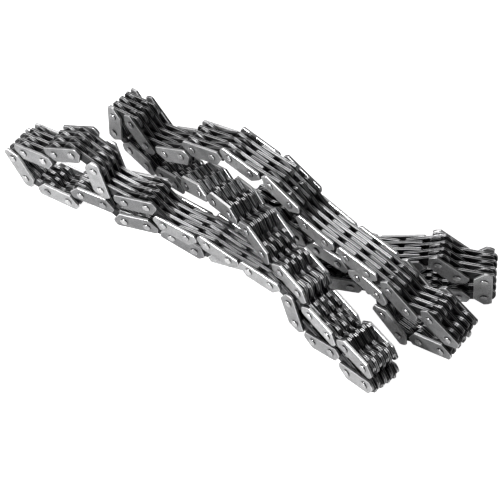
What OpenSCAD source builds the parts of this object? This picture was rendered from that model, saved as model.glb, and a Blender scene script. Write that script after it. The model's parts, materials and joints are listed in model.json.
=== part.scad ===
// Inverted-tooth (silent) timing chain, one closed loop lying folded in a heap.
// Millimetres, +Z up, the table is z = 0. Lacing 3 x 4: a guide row and a plain row take turns.
// Each node is one guide row with the plain row after it, and the next node's first pin joins them.

/* [Chain] */
// distance from one pin to the next along the chain
pitch = 9.525; // [6.35:0.001:12.7]
// thickness of one toothed leaf, which is a pair of thin laminations
leaf_t = 1.26; // [0.8:0.02:2]
// gap between the two laminations of a leaf, which keeps each a solid of its own
pair_gap = 0.04; // [0.02:0.01:0.2]
// side gap between a leaf and the one beside it
leaf_gap = 0.24; // [0.06:0.02:0.4]
// thickness of an outer guide plate
guide_t = 1.05; // [0.6:0.05:1.5]

/* [Plate outline] */
// flat back above the pin line
back_h = 3; // [2:0.1:4]
// tip of a leaf's tooth below the pin line
tooth_h = 4; // [3:0.1:5]
// rounded end of a leaf about its pin
leaf_end_r = 4.2; // [3.5:0.1:4.5]
// width of the flat on a tooth's tip
tooth_tip_w = 1.6; // [0.6:0.1:2.4]
// inner corner of a tooth's tip, measured outwards from its pin
tooth_tip_in = 0.3; // [0:0.1:1]
// height of the crotch between two teeth below the pin line
crotch_h = 1.1; // [0.4:0.1:2]
// width of the flat in that crotch
crotch_w = 2; // [1:0.1:3]
// how far below the pin line a leaf's end starts to slant in to its tooth
shoulder_h = 1.2; // [0.5:0.1:2]
// how far in the end has come at that height
shoulder_in = 0.2; // [0.1:0.05:0.5]
// rounded end of a guide plate about its pin
guide_end_r = 4.4; // [3.5:0.1:4.6]
// straight lower edge of a guide plate below the pin line
guide_h = 3.7; // [3:0.1:4.5]
// how far that lower edge runs past each pin
guide_foot = 1.2; // [0:0.1:2.5]

/* [Pins] */
// pin radius
pin_r = 1.5; // [1:0.05:2]
// how far a riveted pin end stands out of its guide plate
rivet_h = 0.6; // [0.2:0.05:0.8]
// radial gap at a tight pin, which keeps each piece a solid of its own
fit_gap = 0.02; // [0.01:0.01:0.05]
// radial running clearance of a turning leaf on its pin
run_clear = 0.08; // [0.02:0.01:0.1]
// the same at the pin that closes the loop, where the heap's small drift is taken up
close_clear = 0.35; // [0.1:0.05:0.5]

/* [Finish] */
// smoothness of round edges
detail = 48; // [24:4:96]

/* [Hidden] */

LINKS = 49;
ROWS = 2 * LINKS;

// side by side places of the plates, counted in layers from the middle of the chain
guide_row_layers = [-2, 0, 2];
plain_row_layers = [-3, -1, 1, 3];
layer = leaf_t + leaf_gap;
guide_y = 3 * layer + leaf_t / 2 + leaf_gap + guide_t / 2;
pin_len = 2 * guide_y + guide_t;

// How each row slopes, in degrees, set by hand against the photo. At 0 the row is level with its
// flat back up, and at 180 it runs the other way with its teeth up. Rows are counted from 0,
// guide rows are even, and the lists follow the chain strand by strand.
strands = [
  // left front strand A, back up, rising to the heap
  [13, 57, 32, -19, -74, -7, 17, -40, -3],
  // A over the crossing and down
  [11, -8, 5, 1, -19, -69, -17, 20, -20, 19],
  // back-bend at the right end of A
  [98],
  // strand D, teeth up, back to the left across the top
  [174, 195, 169, 133, 166, 174, 155, 181, 196, 205, 211],
  // D falls behind A to the left turn
  [222, 204, 196, 179, 162],
  // left turn of the rear strand
  [90, 19],
  // rear strand C, back up, over the hump
  [-40, 18, 32, 59, 18, 33, -6, 4, -19, -36, -5, 1, -4, -12, -33, 19, -32],
  // right turn under C
  [-102],
  // strand F, teeth up, under C
  [-163, -152, -216, -254, -188],
  // hidden run back to the left
  [-182, -178, -182, -195, -171],
  // hidden back-bend
  [-81, 1],
  // strand E, back up, at the right rear
  [0, 0, 0, 6, 18, 25, -40, -5],
  // right turn
  [-86, -173],
  // bottom strand U, teeth up, on the table
  [-178, -179, -180, -180, -180, -180, -180, -181, -182, -185],
  // U rises to the left end
  [-204, -190, -167, -212, -177, -125, -174],
  // left turn up into A
  [-186, -235, -306]
];
hand_slopes = [for (s = strands) for (v = s) v];

// How far the chain's heading is turned from +X towards the viewer, in degrees, at a few rows.
headings = [
  [0, 36], [6, 28], [12, 39], [18, 51], [24, 49], [30, 55],
  [36, 45], [42, 37], [48, 44], [54, 36], [60, 44], [66, 28],
  [72, 12], [78, 5], [84, 14], [90, 25], [96, 37], [98, 36]
];

// Small trims that bring the last pin exactly back to the first: first row, last row, degrees.
slope_trims = [[61, 65, 0.1358], [68, 72, 0.055], [40, 43, 0.2276], [4, 6, -0.2225]];
heading_trims = [[61, 72, 0.2912]];

// Where the first pin of row 0 is.
first_pin = [-78.04, 39.06, 20.025];

function trim(list, i) = [for (t = list) i >= t[0] && i <= t[1] ? t[2] : 0] * [for (t = list) 1];
function slope(i) = hand_slopes[i] + trim(slope_trims, i);
function heading(i) = lookup(i, headings) + trim(heading_trims, i);
function step(i) = pitch * [
  cos(slope(i)) * cos(heading(i)),
  -cos(slope(i)) * sin(heading(i)),
  sin(slope(i))
];

// Pin centres, one after the other along the chain.
pins = [for (i = 0, q = first_pin; i < ROWS; q = q + step(i), i = i + 1) q];

// Draws its children in row i's own frame: x along the row, y across it, z to its flat back.
module on_row(i) {
  translate(pins[i])
    rotate([0, -slope(i), -heading(i)])
      children();
}

// Two round ends about the pins, cut flat along the back.
module rounded_back(r) {
  intersection() {
    union() {
      circle(r = r, $fn = detail);
      translate([pitch, 0])
        circle(r = r, $fn = detail);
      translate([0, 0])
        square([pitch, back_h]);
    }
    translate([-2 * r, 0])
      square([pitch + 4 * r, back_h]);
  }
}

// Outline of a toothed leaf: two teeth, one under each pin, and a crotch between them.
module leaf_outline() {
  mid = pitch / 2;
  tip_out = tooth_tip_in + tooth_tip_w;
  end_in = leaf_end_r - shoulder_in;
  rounded_back(leaf_end_r);
  polygon([
    [-leaf_end_r, 0],
    [-end_in, -shoulder_h],
    [-tip_out, -tooth_h],
    [-tooth_tip_in, -tooth_h],
    [mid - crotch_w / 2, -crotch_h],
    [mid + crotch_w / 2, -crotch_h],
    [pitch + tooth_tip_in, -tooth_h],
    [pitch + tip_out, -tooth_h],
    [pitch + end_in, -shoulder_h],
    [pitch + leaf_end_r, 0]
  ]);
}

// Outline of an outer guide plate, which has no teeth.
module guide_outline() {
  rounded_back(guide_end_r);
  polygon([
    [-guide_end_r, 0],
    [-guide_foot, -guide_h],
    [pitch + guide_foot, -guide_h],
    [pitch + guide_end_r, 0]
  ]);
}

// Stands an outline up as a plate of thickness t, centred at y.
module plate(y, t) {
  translate([0, y + t / 2, 0])
    rotate([90, 0, 0])
      linear_extrude(height = t)
        children();
}

// A round bore or pin across the row at x.
module across(x, r, length) {
  translate([x, length / 2, 0])
    rotate([90, 0, 0])
      cylinder(h = length, r = r, $fn = detail);
}

// Each leaf is two laminations side by side. These are their places across the row.
lamination_t = (leaf_t - pair_gap) / 2;
function laminations(layers) = [
  for (n = layers) for (side = [-1, 1]) n * layer + side * (leaf_t - lamination_t) / 2
];

// Leaves a round hole about each pin of a guide row's plate, tight on the pin.
module with_bores() {
  difference() {
    children();
    circle(r = pin_r + fit_gap, $fn = detail);
    translate([pitch, 0])
      circle(r = pin_r + fit_gap, $fn = detail);
  }
}

// A riveted pin: a plain shank with a low coned head outside each guide plate.
module pin(x) {
  across(x, pin_r, pin_len);
  for (side = [-1, 1])
    translate([x, side * pin_len / 2, 0])
      rotate([side * -90, 0, 0])
        cylinder(h = rivet_h, r1 = pin_r, r2 = pin_r * 0.7, $fn = detail);
}

// Row with the guide plates. Its plates are tight on its two pins.
module guide_row(i) {
  color("#c9cbcc")
    on_row(i)
      for (side = [-1, 1])
        plate(side * guide_y, guide_t)
          with_bores()
            guide_outline();
  color("#3c3f43")
    on_row(i)
      for (y = laminations(guide_row_layers))
        plate(y, lamination_t)
          with_bores()
            leaf_outline();
  color("#dfe0e1")
    on_row(i) {
      pin(0);
      pin(pitch);
    }
}

// Row of leaves alone. It sits tight on the second pin of its own guide row and turns on the
// first pin of the next one, so both bores are cut along those pins.
module plain_row(i) {
  next = (i + 1) % ROWS;
  turn_r = pin_r + (i == OPEN_ROW ? close_clear : run_clear);
  color("#54585c")
    for (y = laminations(plain_row_layers))
      difference() {
        on_row(i)
          plate(y, lamination_t)
            leaf_outline();
        on_row(i - 1)
          across(pitch, pin_r + fit_gap, 2 * pin_len);
        on_row(next)
          rotate([0, slope(next) - slope(i), 0])
            across(0, turn_r, 2 * pin_len);
      }
}

// The plain row whose turning bore closes the loop.
OPEN_ROW = 33;

module link(k) {
  guide_row(2 * k - 2);
  plain_row(2 * k - 1);
}

link(1);  // link_01
link(2);  // link_02
link(3);  // link_03
link(4);  // link_04
link(5);  // link_05
link(6);  // link_06
link(7);  // link_07
link(8);  // link_08
link(9);  // link_09
link(10);  // link_10
link(11);  // link_11
link(12);  // link_12
link(13);  // link_13
link(14);  // link_14
link(15);  // link_15
link(16);  // link_16
link(17);  // link_17
link(18);  // link_18
link(19);  // link_19
link(20);  // link_20
link(21);  // link_21
link(22);  // link_22
link(23);  // link_23
link(24);  // link_24
link(25);  // link_25
link(26);  // link_26
link(27);  // link_27
link(28);  // link_28
link(29);  // link_29
link(30);  // link_30
link(31);  // link_31
link(32);  // link_32
link(33);  // link_33
link(34);  // link_34
link(35);  // link_35
link(36);  // link_36
link(37);  // link_37
link(38);  // link_38
link(39);  // link_39
link(40);  // link_40
link(41);  // link_41
link(42);  // link_42
link(43);  // link_43
link(44);  // link_44
link(45);  // link_45
link(46);  // link_46
link(47);  // link_47
link(48);  // link_48
link(49);  // link_49
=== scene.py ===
import json
import math

import bmesh
import bpy
from mathutils import Matrix, Vector

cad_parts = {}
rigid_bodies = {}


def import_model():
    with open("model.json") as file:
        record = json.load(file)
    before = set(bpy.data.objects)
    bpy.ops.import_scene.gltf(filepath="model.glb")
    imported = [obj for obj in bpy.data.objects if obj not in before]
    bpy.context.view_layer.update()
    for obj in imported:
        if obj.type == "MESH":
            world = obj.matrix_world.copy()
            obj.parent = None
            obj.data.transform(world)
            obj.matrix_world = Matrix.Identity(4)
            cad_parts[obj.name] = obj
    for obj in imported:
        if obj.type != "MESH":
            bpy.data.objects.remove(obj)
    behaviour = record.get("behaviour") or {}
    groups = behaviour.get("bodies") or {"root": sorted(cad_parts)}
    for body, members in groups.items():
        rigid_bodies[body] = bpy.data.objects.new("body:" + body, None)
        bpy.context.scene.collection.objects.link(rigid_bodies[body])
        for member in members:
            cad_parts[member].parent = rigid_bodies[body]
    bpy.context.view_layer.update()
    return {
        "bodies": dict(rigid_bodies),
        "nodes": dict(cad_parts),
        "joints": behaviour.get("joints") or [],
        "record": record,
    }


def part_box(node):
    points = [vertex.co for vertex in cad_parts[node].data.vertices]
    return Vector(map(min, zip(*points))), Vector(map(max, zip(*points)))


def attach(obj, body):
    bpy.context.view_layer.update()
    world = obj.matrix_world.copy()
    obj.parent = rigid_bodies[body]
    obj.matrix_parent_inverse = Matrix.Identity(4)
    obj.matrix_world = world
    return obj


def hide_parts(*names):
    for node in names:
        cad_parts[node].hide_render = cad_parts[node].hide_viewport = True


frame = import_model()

MM = 0.001

# Camera: the photograph looks down at the heap from the front.

LOOK_AT = Vector((-1.58, -3.01, 8.0)) * MM
ELEVATION = math.radians(54.86)
AZIMUTH = math.radians(-0.63)
ROLL = math.radians(-0.32)
DISTANCE = 0.845
PHOTO_PIXELS = 500.0
FOCAL_PIXELS = 2341.5
SHIFT_PIXELS = (6.49, 3.64)
SENSOR_WIDTH = 36.0


def add_camera():
    data = bpy.data.cameras.new("photo_camera")
    data.sensor_width = SENSOR_WIDTH
    data.lens = SENSOR_WIDTH * FOCAL_PIXELS / PHOTO_PIXELS
    data.shift_x = SHIFT_PIXELS[0] / PHOTO_PIXELS
    data.shift_y = SHIFT_PIXELS[1] / PHOTO_PIXELS
    data.clip_start = 0.01
    camera = bpy.data.objects.new("photo_camera", data)
    aim = Matrix.Rotation(AZIMUTH, 3, "Z") @ Matrix.Rotation(math.pi / 2 - ELEVATION, 3, "X")
    camera.location = LOOK_AT + aim @ Vector((0.0, 0.0, DISTANCE))
    camera.rotation_euler = (aim @ Matrix.Rotation(-ROLL, 3, "Z")).to_euler()
    bpy.context.scene.collection.objects.link(camera)
    bpy.context.scene.camera = camera


# The chain's sizes and route in millimetres, the same as in part.scad. The plain rows' bores are
# straight here, and follow the neighbouring rows' pins there.

PITCH = 9.525
LEAF_T = 1.26
PAIR_GAP = 0.04
LEAF_GAP = 0.24
GUIDE_T = 1.05
BACK_H = 3.0
TOOTH_H = 4.0
LEAF_END_R = 4.2
TOOTH_TIP_W = 1.6
TOOTH_TIP_IN = 0.3
CROTCH_H = 1.1
CROTCH_W = 2.0
SHOULDER_H = 1.2
SHOULDER_IN = 0.2
GUIDE_END_R = 4.4
GUIDE_H = 3.7
GUIDE_FOOT = 1.2
PIN_R = 1.5
RIVET_H = 0.6
FIT_GAP = 0.02
RUN_GAP = 0.08

# Looks only: the width of the worn bevels, and how far a plate may stand off its place along y. The
# bevels and rims carry bright steel, worn and partly a painted highlight.
LEAF_BEVEL = 0.17
GUIDE_BEVEL = 0.16
SIDE_PLAY = 0.018
FIRST_SEED = 100

# What the "edge" attribute of a face says, and the values that part one kind from the next. Tips and
# rims get bright steel: worn edges with a painted highlight.
EDGE_TIP = 1.0
EDGE_RIM = 0.5
EDGE_FACE = 0.0
# Wall faces get dark steel: painted shade on the pin heads' side walls.
EDGE_PAINTED_SHADE = -1.0
ABOVE_IS_RIM = 0.25
ABOVE_IS_TIP = 0.75
BELOW_IS_PAINTED_SHADE = -0.5

LAYER = LEAF_T + LEAF_GAP
LAMINATION_T = (LEAF_T - PAIR_GAP) / 2
GUIDE_Y = 3 * LAYER + LEAF_T / 2 + LEAF_GAP + GUIDE_T / 2
PIN_LEN = 2 * GUIDE_Y + GUIDE_T
LINKS = 49
ROWS = 2 * LINKS
FIRST_PIN = Vector([-78.04, 39.06, 20.025])

# How each row slopes, in degrees, strand by strand.
STRANDS = [
    # left front strand A, back up, rising to the heap
    [13, 57, 32, -19, -74, -7, 17, -40, -3],
    # A over the crossing and down
    [11, -8, 5, 1, -19, -69, -17, 20, -20, 19],
    # back-bend at the right end of A
    [98],
    # strand D, teeth up, back to the left across the top
    [174, 195, 169, 133, 166, 174, 155, 181, 196, 205, 211],
    # D falls behind A to the left turn
    [222, 204, 196, 179, 162],
    # left turn of the rear strand
    [90, 19],
    # rear strand C, back up, over the hump
    [-40, 18, 32, 59, 18, 33, -6, 4, -19, -36, -5, 1, -4, -12, -33, 19, -32],
    # right turn under C
    [-102],
    # strand F, teeth up, under C
    [-163, -152, -216, -254, -188],
    # hidden run back to the left
    [-182, -178, -182, -195, -171],
    # hidden back-bend
    [-81, 1],
    # strand E, back up, at the right rear
    [0, 0, 0, 6, 18, 25, -40, -5],
    # right turn
    [-86, -173],
    # bottom strand U, teeth up, on the table
    [-178, -179, -180, -180, -180, -180, -180, -181, -182, -185],
    # U rises to the left end
    [-204, -190, -167, -212, -177, -125, -174],
    # left turn up into A
    [-186, -235, -306]
]
SLOPES = [v for strand in STRANDS for v in strand]

# How far the chain is turned from +X towards the viewer, in degrees, at a few rows.
HEADINGS = [
    [0, 36], [6, 28], [12, 39], [18, 51], [24, 49], [30, 55],
    [36, 45], [42, 37], [48, 44], [54, 36], [60, 44], [66, 28],
    [72, 12], [78, 5], [84, 14], [90, 25], [96, 37], [98, 36]
]
SLOPE_TRIMS = [[61, 65, 0.1358], [68, 72, 0.055], [40, 43, 0.2276], [4, 6, -0.2225]]
HEADING_TRIMS = [[61, 72, 0.2912]]


def trim(trims, row):
    return sum(value for first, last, value in trims if first <= row <= last)


def heading(row):
    for (r0, a0), (r1, a1) in zip(HEADINGS, HEADINGS[1:]):
        if r0 <= row <= r1:
            return a0 + (a1 - a0) * (row - r0) / (r1 - r0) + trim(HEADING_TRIMS, row)
    raise ValueError(row)


def row_frames():
    """One 3x3 turn and one pin centre for each row: x along it, y across it, z to its flat back."""
    frames = []
    pin = FIRST_PIN.copy()
    for row in range(ROWS):
        slope = math.radians(SLOPES[row] + trim(SLOPE_TRIMS, row))
        turn = Matrix.Rotation(math.radians(-heading(row)), 3, "Z") @ Matrix.Rotation(-slope, 3, "Y")
        frames.append((turn, pin.copy()))
        pin = pin + turn @ Vector((PITCH, 0.0, 0.0))
    return frames


# Materials: blanked, tumbled and lightly oiled spring steel.

def add_node(tree, kind, place, **values):
    node = tree.nodes.new(kind)
    node.location = place
    for key, value in values.items():
        setattr(node, key, value)
    return node


def live(sockets, name):
    """The socket of that name which is in use: a node keeps one for every data type."""
    return next(s for s in sockets if s.name == name and s.enabled)


def steel(
    name, dark, light, rough_low, rough_high, grain=9000.0, bump=0.25, tone_share=0.5,
    metallic=1.0,
):
    """Steel with cloudy tone, fine grain and small pits. Each plate's own tone shifts it a little."""
    material = bpy.data.materials.new(name)
    material.use_nodes = True
    tree = material.node_tree
    tree.nodes.clear()
    out = add_node(tree, "ShaderNodeOutputMaterial", (900, 0))
    shader = add_node(tree, "ShaderNodeBsdfPrincipled", (600, 0))
    shader.inputs["Metallic"].default_value = metallic
    tree.links.new(shader.outputs[0], out.inputs[0])
    coords = add_node(tree, "ShaderNodeTexCoord", (-900, 0))
    clouds = add_node(tree, "ShaderNodeTexNoise", (-650, 200))
    clouds.inputs["Scale"].default_value = 260.0
    clouds.inputs["Detail"].default_value = 6.0
    clouds.inputs["Roughness"].default_value = 0.62
    tree.links.new(coords.outputs["Object"], clouds.inputs["Vector"])
    grains = add_node(tree, "ShaderNodeTexNoise", (-650, -100))
    grains.inputs["Scale"].default_value = grain
    grains.inputs["Detail"].default_value = 3.0
    tree.links.new(coords.outputs["Object"], grains.inputs["Vector"])
    tone = add_node(tree, "ShaderNodeAttribute", (-650, 450), attribute_name="tone")
    mixed = add_node(tree, "ShaderNodeMix", (-400, 300), data_type="FLOAT")
    mixed.inputs[0].default_value = tone_share
    tree.links.new(clouds.outputs["Fac"], mixed.inputs[2])
    tree.links.new(tone.outputs["Fac"], mixed.inputs[3])
    ramp = add_node(tree, "ShaderNodeValToRGB", (-150, 300))
    ramp.color_ramp.elements[0].position = 0.28
    ramp.color_ramp.elements[0].color = (*dark, 1.0)
    ramp.color_ramp.elements[1].position = 0.72
    ramp.color_ramp.elements[1].color = (*light, 1.0)
    tree.links.new(mixed.outputs[0], ramp.inputs["Fac"])
    speck = add_node(tree, "ShaderNodeMapRange", (-400, -50))
    speck.inputs["From Min"].default_value = 0.35
    speck.inputs["From Max"].default_value = 0.62
    speck.inputs["To Min"].default_value = 0.72
    speck.inputs["To Max"].default_value = 1.1
    tree.links.new(grains.outputs["Fac"], speck.inputs["Value"])
    colour = add_node(tree, "ShaderNodeVectorMath", (200, 250), operation="SCALE")
    tree.links.new(ramp.outputs["Color"], colour.inputs[0])
    tree.links.new(speck.outputs["Result"], colour.inputs["Scale"])
    tree.links.new(colour.outputs[0], shader.inputs["Base Color"])
    rough = add_node(tree, "ShaderNodeMapRange", (200, -50))
    rough.inputs["To Min"].default_value = rough_low
    rough.inputs["To Max"].default_value = rough_high
    tree.links.new(clouds.outputs["Fac"], rough.inputs["Value"])
    tree.links.new(rough.outputs["Result"], shader.inputs["Roughness"])
    relief = add_node(tree, "ShaderNodeBump", (350, -300))
    relief.inputs["Strength"].default_value = bump
    relief.inputs["Distance"].default_value = 0.00004
    tree.links.new(grains.outputs["Fac"], relief.inputs["Height"])
    tree.links.new(relief.outputs["Normal"], shader.inputs["Normal"])
    return material


# Plate and pin shapes, each in its row's own frame with the thickness along y.

def arc(x, radius, start, end, steps):
    angles = [math.radians(start + (end - start) * n / steps) for n in range(steps + 1)]
    return [(x + radius * math.cos(a), radius * math.sin(a)) for a in angles]


def leaf_outline():
    flat = math.degrees(math.asin(BACK_H / LEAF_END_R))
    mid = PITCH / 2
    top = arc(PITCH, LEAF_END_R, 0, flat, 4) + arc(0, LEAF_END_R, 180 - flat, 180, 4)
    tip_out = TOOTH_TIP_IN + TOOTH_TIP_W
    end_in = LEAF_END_R - SHOULDER_IN
    low = [
        (-end_in, -SHOULDER_H), (-tip_out, -TOOTH_H), (-TOOTH_TIP_IN, -TOOTH_H),
        (mid - CROTCH_W / 2, -CROTCH_H), (mid + CROTCH_W / 2, -CROTCH_H),
        (PITCH + TOOTH_TIP_IN, -TOOTH_H), (PITCH + tip_out, -TOOTH_H), (PITCH + end_in, -SHOULDER_H),
    ]
    return top + low


def guide_outline():
    flat = math.degrees(math.asin(BACK_H / GUIDE_END_R))
    top = arc(PITCH, GUIDE_END_R, 0, flat, 5) + arc(0, GUIDE_END_R, 180 - flat, 180, 5)
    return top + [(-GUIDE_FOOT, -GUIDE_H), (PITCH + GUIDE_FOOT, -GUIDE_H)]


def inset(points, depth):
    """The outline moved inwards by depth. The points run counter-clockwise."""
    moved = []
    count = len(points)
    for n in range(count):
        before = Vector(points[n - 1])
        here = Vector(points[n])
        after = Vector(points[(n + 1) % count])
        one = (here - before).normalized()
        two = (after - here).normalized()
        normal = Vector((-one.y - two.y, one.x + two.x)).normalized()
        side = normal.dot(Vector((-one.y, one.x)))
        moved.append(tuple(here + normal * (depth / max(side, 0.4))))
    return moved


def template(name, bm, smooth_faces=()):
    for face in smooth_faces:
        face.smooth = True
    bmesh.ops.scale(bm, vec=(MM, MM, MM), verts=bm.verts)
    bmesh.ops.recalc_face_normals(bm, faces=bm.faces)
    mesh = bpy.data.meshes.new(name)
    bm.to_mesh(mesh)
    bm.free()
    shape = bpy.data.objects.new(name, mesh)
    bpy.context.scene.collection.objects.link(shape)
    return shape


def plate_template(name, outline, thickness, worn, bore_r, guide=False, bore_steps=16):
    """A blanked plate with rounded corners and a bore for each pin. Its rim and its tooth tips are
    bright: worn steel, with a painted highlight where the edges catch light.
    """
    bm = bmesh.new()
    edge = bm.faces.layers.float.new("edge")
    small = inset(outline, worn)
    low = min(z for x, z in outline)
    half = thickness / 2
    levels = [(small, half), (outline, half - worn), (outline, worn - half), (small, -half)]
    rings = [[bm.verts.new((x, y, z)) for x, z in points] for points, y in levels]
    count = len(outline)
    for level in range(3):
        for n in range(count):
            m = (n + 1) % count
            face = bm.faces.new((
                rings[level][n], rings[level][m],
                rings[level + 1][m], rings[level + 1][n],
            ))
            foot = outline[n][1] == outline[m][1] == low
            if level == 1:
                face[edge] = EDGE_TIP if foot else EDGE_RIM
            else:
                face[edge] = EDGE_TIP if guide else EDGE_FACE
    bores = []
    for x in (0.0, PITCH):
        circle = arc(x, bore_r, 0, 360, bore_steps)[:-1]
        pair = [[bm.verts.new((cx, y, cz)) for cx, cz in circle] for y in (half, -half)]
        for n in range(bore_steps):
            m = (n + 1) % bore_steps
            bm.faces.new((pair[0][n], pair[0][m], pair[1][m], pair[1][n]))
        bores.append(pair)
    for ring, side in ((rings[0], 0), (rings[3], 1)):
        loops = [ring] + [pair[side] for pair in bores]
        edges = [bm.edges.get((loop[n - 1], loop[n])) for loop in loops for n in range(len(loop))]
        bmesh.ops.triangle_fill(bm, use_beauty=True, edges=edges)
    return template(name, bm)


# The head's side wall bands get dark steel: a painted shade ring that stands in for the rivet head's
# shadow.
PIN_SHADED_WALLS = (3, 5)  # the bands between a head's rim and its shank, in the profile below


def pin_template(name, steps=16):
    """A riveted pin: plain shank, and a low domed head with a rolled edge at each end. The head's
    side wall is marked for painted shade, a dark ring around the head.
    """
    bm = bmesh.new()
    edge = bm.faces.layers.float.new("edge")
    half = PIN_LEN / 2
    profile = [
        (PIN_R, -half), (PIN_R * 0.98, -half - 0.36), (PIN_R * 0.84, -half - 0.5),
        (PIN_R * 0.55, -half - 0.58), (PIN_R * 0.25, -half - RIVET_H),
    ]
    profile = [(r, -y) for r, y in reversed(profile)] + profile
    rings = []
    for radius, y in profile:
        rings.append([bm.verts.new((x, y, z)) for x, z in arc(0, radius, 0, 360, steps)[:-1]])
    smooth = []
    for level in range(len(rings) - 1):
        for n in range(steps):
            m = (n + 1) % steps
            face = bm.faces.new((
                rings[level][n], rings[level][m],
                rings[level + 1][m], rings[level + 1][n],
            ))
            face[edge] = EDGE_PAINTED_SHADE if level in PIN_SHADED_WALLS else EDGE_FACE
            smooth.append(face)
    bm.faces.new(rings[0])
    bm.faces.new(rings[-1])
    return template(name, bm, smooth)


# The link builder: sets plates and pins on the points of one body.

GUIDE_LEAF, PLAIN_LEAF, GUIDE_PLATE, PIN = range(4)


def link_builder(shapes, materials, rim, worn_highlight_edge):
    """A tree that puts each kind's shape on its points, nudged and toned at random with a
    fixed seed.
    """
    tree = bpy.data.node_groups.new("link_builder", "GeometryNodeTree")
    face = tree.interface
    face.new_socket(name="Geometry", in_out="INPUT", socket_type="NodeSocketGeometry")
    play = face.new_socket(name="Side play", in_out="INPUT", socket_type="NodeSocketFloat")
    seed = face.new_socket(name="Seed", in_out="INPUT", socket_type="NodeSocketInt")
    face.new_socket(name="Geometry", in_out="OUTPUT", socket_type="NodeSocketGeometry")
    source = add_node(tree, "NodeGroupInput", (-1200, 0))
    result = add_node(tree, "NodeGroupOutput", (1400, 0))
    turn = add_node(tree, "GeometryNodeInputNamedAttribute", (-1000, -300), data_type="FLOAT_VECTOR")
    turn.inputs["Name"].default_value = "turn"
    rotation = add_node(tree, "FunctionNodeEulerToRotation", (-800, -300))
    tree.links.new(live(turn.outputs, "Attribute"), rotation.inputs[0])
    kind = add_node(tree, "GeometryNodeInputNamedAttribute", (-1000, 300), data_type="INT")
    kind.inputs["Name"].default_value = "kind"
    join = add_node(tree, "GeometryNodeJoinGeometry", (900, 0))
    # side play of each plate along its own y
    shift = add_node(tree, "FunctionNodeRandomValue", (-1000, -600), data_type="FLOAT")
    least = add_node(tree, "ShaderNodeMath", (-1150, -700), operation="MULTIPLY")
    least.inputs[1].default_value = -1.0
    tree.links.new(source.outputs["Side play"], least.inputs[0])
    tree.links.new(least.outputs[0], live(shift.inputs, "Min"))
    tree.links.new(source.outputs["Side play"], live(shift.inputs, "Max"))
    tree.links.new(source.outputs["Seed"], shift.inputs["Seed"])
    along = add_node(tree, "ShaderNodeCombineXYZ", (-800, -600))
    tree.links.new(live(shift.outputs, "Value"), along.inputs["Y"])
    tone = add_node(tree, "FunctionNodeRandomValue", (-1000, -900), data_type="FLOAT")
    tree.links.new(source.outputs["Seed"], tone.inputs["Seed"])
    for number, shape in enumerate(shapes):
        row = 500 - 400 * number
        same = add_node(tree, "FunctionNodeCompare", (-700, row), data_type="INT", operation="EQUAL")
        tree.links.new(live(kind.outputs, "Attribute"), live(same.inputs, "A"))
        live(same.inputs, "B").default_value = number
        info = add_node(tree, "GeometryNodeObjectInfo", (-700, row - 150))
        info.inputs["Object"].default_value = shape
        put = add_node(tree, "GeometryNodeInstanceOnPoints", (-450, row))
        tree.links.new(source.outputs["Geometry"], put.inputs["Points"])
        tree.links.new(same.outputs["Result"], put.inputs["Selection"])
        tree.links.new(info.outputs["Geometry"], put.inputs["Instance"])
        tree.links.new(rotation.outputs[0], put.inputs["Rotation"])
        nudge = add_node(tree, "GeometryNodeTranslateInstances", (-220, row))
        tree.links.new(put.outputs[0], nudge.inputs["Instances"])
        if number != PIN:
            tree.links.new(along.outputs[0], nudge.inputs["Translation"])
        nudge.inputs["Local Space"].default_value = True
        store = add_node(
            tree, "GeometryNodeStoreNamedAttribute", (20, row), data_type="FLOAT", domain="INSTANCE"
        )
        store.inputs["Name"].default_value = "tone"
        tree.links.new(nudge.outputs[0], store.inputs["Geometry"])
        tree.links.new(live(tone.outputs, "Value"), live(store.inputs, "Value"))
        real = add_node(tree, "GeometryNodeRealizeInstances", (260, row))
        tree.links.new(store.outputs[0], real.inputs[0])
        paint = add_node(tree, "GeometryNodeSetMaterial", (480, row))
        paint.inputs["Material"].default_value = materials[number]
        tree.links.new(real.outputs[0], paint.inputs["Geometry"])
        tree.links.new(paint.outputs[0], join.inputs[0])
    edge = add_node(tree, "GeometryNodeInputNamedAttribute", (900, -300), data_type="FLOAT")
    edge.inputs["Name"].default_value = "edge"
    last = join
    # Repaint by the edge attribute: rims and tips in bright steel, partly a painted highlight.
    for number, (bound, test, material) in enumerate((
        (ABOVE_IS_RIM, "GREATER_THAN", rim),
        (ABOVE_IS_TIP, "GREATER_THAN", worn_highlight_edge),
        # pin head walls in dark leaf steel: painted shade
        (BELOW_IS_PAINTED_SHADE, "LESS_THAN", materials[0]),
    )):
        place = (1050 + 200 * number, -300)
        chosen = add_node(tree, "FunctionNodeCompare", place, data_type="FLOAT", operation=test)
        live(chosen.inputs, "B").default_value = bound
        tree.links.new(live(edge.outputs, "Attribute"), live(chosen.inputs, "A"))
        paint = add_node(tree, "GeometryNodeSetMaterial", (1200 + 200 * number, 0))
        paint.inputs["Material"].default_value = material
        tree.links.new(last.outputs[0], paint.inputs["Geometry"])
        tree.links.new(chosen.outputs[0], paint.inputs["Selection"])
        last = paint
    tree.links.new(last.outputs[0], result.inputs["Geometry"])
    return tree, play.identifier, seed.identifier


def link_points(frames, link):
    """The places, turns and kinds of one link's plates and pins."""
    points = []
    guide = frames[2 * link]
    plain = frames[2 * link + 1]

    def put(frame, kind, x, y):
        turn, pin = frame
        place = (pin + turn @ Vector((x, y, 0.0))) * MM
        points.append((place, turn.to_euler("XYZ"), kind))

    pair = (LEAF_T - LAMINATION_T) / 2
    for side in (-pair, pair):
        for layer in (-2, 0, 2):
            put(guide, GUIDE_LEAF, 0.0, layer * LAYER + side)
        for layer in (-3, -1, 1, 3):
            put(plain, PLAIN_LEAF, 0.0, layer * LAYER + side)
    for side in (-1, 1):
        put(guide, GUIDE_PLATE, 0.0, side * GUIDE_Y)
    for x in (0.0, PITCH):
        put(guide, PIN, x, 0.0)
    return points


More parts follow.
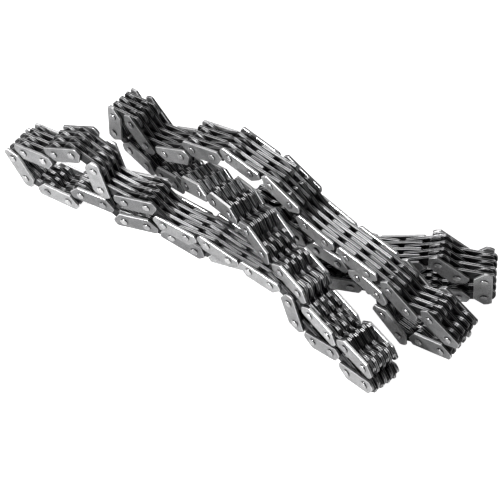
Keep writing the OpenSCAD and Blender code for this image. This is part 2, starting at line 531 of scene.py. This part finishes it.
def build_link(tree, sockets, points, name, number):
    mesh = bpy.data.meshes.new(name + "_points")
    mesh.from_pydata([p[0] for p in points], [], [])
    mesh.attributes.new("turn", "FLOAT_VECTOR", "POINT")
    mesh.attributes.new("kind", "INT", "POINT")
    mesh.attributes["turn"].data.foreach_set("vector", [v for p in points for v in p[1]])
    mesh.attributes["kind"].data.foreach_set("value", [p[2] for p in points])
    source = bpy.data.objects.new(name + "_points", mesh)
    bpy.context.scene.collection.objects.link(source)
    builder = source.modifiers.new("link_builder", "NODES")
    builder.node_group = tree
    builder[sockets[0]] = SIDE_PLAY * MM
    builder[sockets[1]] = FIRST_SEED + number
    bpy.context.view_layer.update()
    graph = bpy.context.evaluated_depsgraph_get()
    finished = bpy.data.meshes.new_from_object(source.evaluated_get(graph), depsgraph=graph)
    bpy.data.objects.remove(source)
    piece = bpy.data.objects.new(name, finished)
    bpy.context.scene.collection.objects.link(piece)
    return piece


def build_chain():
    leaf = steel("leaf_steel", (0.02, 0.02, 0.021), (0.085, 0.085, 0.088), 0.28, 0.42, metallic=0.9)
    plain = steel(
        "plain_leaf_steel", (0.026, 0.026, 0.027), (0.105, 0.105, 0.108), 0.28, 0.42,
        metallic=0.9,
    )
    guide = steel(
        "guide_plate_steel", (0.27, 0.27, 0.275), (0.60, 0.60, 0.605), 0.36, 0.55,
        grain=2600.0, metallic=0.8,
    )
    pin = steel("pin_steel", (0.45, 0.45, 0.46), (0.80, 0.80, 0.80), 0.20, 0.34, metallic=0.85)
    # Bright rim and tip steels: worn edges, and a painted highlight where the edges catch light.
    rim = steel("blanked_rim_highlight_steel", (0.26, 0.26, 0.265), (0.72, 0.72, 0.725), 0.34, 0.50, bump=0.1)
    worn = steel(
        "worn_and_highlight_edge_steel", (0.70, 0.70, 0.71), (0.95, 0.95, 0.95), 0.28, 0.42,
        bump=0.1, metallic=0.55,
    )
    shapes = [
        plate_template(
            "guide_row_leaf_shape", leaf_outline(), LAMINATION_T, LEAF_BEVEL,
            PIN_R + FIT_GAP,
        ),
        plate_template(
            "plain_row_leaf_shape", leaf_outline(), LAMINATION_T, LEAF_BEVEL,
            PIN_R + RUN_GAP,
        ),
        plate_template(
            "guide_plate_shape", guide_outline(), GUIDE_T, GUIDE_BEVEL, PIN_R + FIT_GAP,
            guide=True,
        ),
        pin_template("riveted_pin_shape"),
    ]
    tree, play, seed = link_builder(shapes, [leaf, plain, guide, pin], rim, worn)
    frames = row_frames()
    for link in range(LINKS):
        node = "link_%02d" % (link + 1)
        points = link_points(frames, link)
        low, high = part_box(node)
        middle = sum((p[0] for p in points), Vector()) / len(points)
        assert all(low[n] < middle[n] < high[n] for n in range(3)), node
        piece = build_link(tree, (play, seed), points, "chain_" + node, link)
        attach(piece, node)
        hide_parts(node)
        carried = frame["nodes"][node].data
        carried.materials.clear()
        carried.materials.append(leaf)
    for shape in shapes:
        bpy.data.objects.remove(shape)


# Floor, world and lamps. The floor is white to the camera, and dim where steel mirrors it.

FLOOR_HALF = 4.0
MIRRORED_SHARE = 0.1
CEILING_TOWARDS = Vector((-0.25, 0.60, 0.76))
CEILING_EDGE = (0.55, 0.97)
CEILING_STRENGTH = (0.03, 0.8)

def add_floor():
    mesh = bpy.data.meshes.new("floor")
    half = FLOOR_HALF
    corners = [(-half, -half, 0), (half, -half, 0), (half, half, 0), (-half, half, 0)]
    mesh.from_pydata(corners, [], [(0, 1, 2, 3)])
    floor = bpy.data.objects.new("floor", mesh)
    bpy.context.scene.collection.objects.link(floor)
    material = bpy.data.materials.new("white_table")
    material.use_nodes = True
    tree = material.node_tree
    tree.nodes.clear()
    out = add_node(tree, "ShaderNodeOutputMaterial", (600, 0))
    matt = add_node(tree, "ShaderNodeBsdfDiffuse", (0, -150))
    matt.inputs["Color"].default_value = (0.8, 0.8, 0.8, 1.0)
    glow = add_node(tree, "ShaderNodeEmission", (0, 100))
    glow.inputs["Color"].default_value = (1.0, 1.0, 1.0, 1.0)
    path = add_node(tree, "ShaderNodeLightPath", (-600, 200))
    seen = add_node(tree, "ShaderNodeMath", (-400, 200), operation="MAXIMUM")
    mirrored = add_node(tree, "ShaderNodeMath", (-500, 100), operation="MULTIPLY")
    mirrored.inputs[1].default_value = MIRRORED_SHARE
    tree.links.new(path.outputs["Is Glossy Ray"], mirrored.inputs[0])
    tree.links.new(path.outputs["Is Camera Ray"], seen.inputs[0])
    tree.links.new(mirrored.outputs[0], seen.inputs[1])
    seen_too = add_node(tree, "ShaderNodeMath", (-200, 200), operation="MAXIMUM")
    tree.links.new(seen.outputs[0], seen_too.inputs[0])
    tree.links.new(path.outputs["Is Transmission Ray"], seen_too.inputs[1])
    tree.links.new(seen_too.outputs[0], glow.inputs["Strength"])
    both = add_node(tree, "ShaderNodeAddShader", (300, 0))
    tree.links.new(glow.outputs[0], both.inputs[0])
    tree.links.new(matt.outputs[0], both.inputs[1])
    tree.links.new(both.outputs[0], out.inputs[0])
    mesh.materials.append(material)


def add_world():
    world = bpy.data.worlds.new("studio")
    bpy.context.scene.world = world
    world.use_nodes = True
    tree = world.node_tree
    tree.nodes.clear()
    out = add_node(tree, "ShaderNodeOutputWorld", (600, 0))
    room = add_node(tree, "ShaderNodeBackground", (200, 0))
    coords = add_node(tree, "ShaderNodeTexCoord", (-600, 0))
    towards = add_node(tree, "ShaderNodeVectorMath", (-400, 0), operation="DOT_PRODUCT")
    towards.inputs[1].default_value = CEILING_TOWARDS.normalized()
    tree.links.new(coords.outputs["Generated"], towards.inputs[0])
    ceiling = add_node(tree, "ShaderNodeMapRange", (-200, 0))
    ceiling.inputs["From Min"].default_value = CEILING_EDGE[0]
    ceiling.inputs["From Max"].default_value = CEILING_EDGE[1]
    ceiling.inputs["To Min"].default_value = CEILING_STRENGTH[0]
    ceiling.inputs["To Max"].default_value = CEILING_STRENGTH[1]
    tree.links.new(towards.outputs["Value"], ceiling.inputs["Value"])
    tree.links.new(ceiling.outputs["Result"], room.inputs["Strength"])
    white = add_node(tree, "ShaderNodeBackground", (200, -200))
    white.inputs["Color"].default_value = (1.0, 1.0, 1.0, 1.0)
    path = add_node(tree, "ShaderNodeLightPath", (0, 250))
    mix = add_node(tree, "ShaderNodeMixShader", (400, 0))
    tree.links.new(path.outputs["Is Camera Ray"], mix.inputs[0])
    tree.links.new(room.outputs[0], mix.inputs[1])
    tree.links.new(white.outputs[0], mix.inputs[2])
    tree.links.new(mix.outputs[0], out.inputs[0])


def add_lamp(name, place, size, power, aim=(0.0, 0.0, 0.01)):
    data = bpy.data.lights.new(name, "AREA")
    data.shape = "RECTANGLE"
    data.size = size[0]
    data.size_y = size[1]
    data.energy = power
    lamp = bpy.data.objects.new(name, data)
    lamp.location = place
    lamp.rotation_euler = (Vector(aim) - Vector(place)).to_track_quat("-Z", "Y").to_euler()
    bpy.context.scene.collection.objects.link(lamp)


def add_lamps():
    add_lamp("key_softbox", (-0.42, -0.32, 0.40), (0.12, 0.12), 5.2)
    add_lamp("back_strip", (0.1, 0.75, 0.6), (0.9, 0.10), 3.0)


bpy.context.scene.view_settings.view_transform = "Standard"
add_camera()
add_world()
add_floor()
add_lamps()
build_chain()
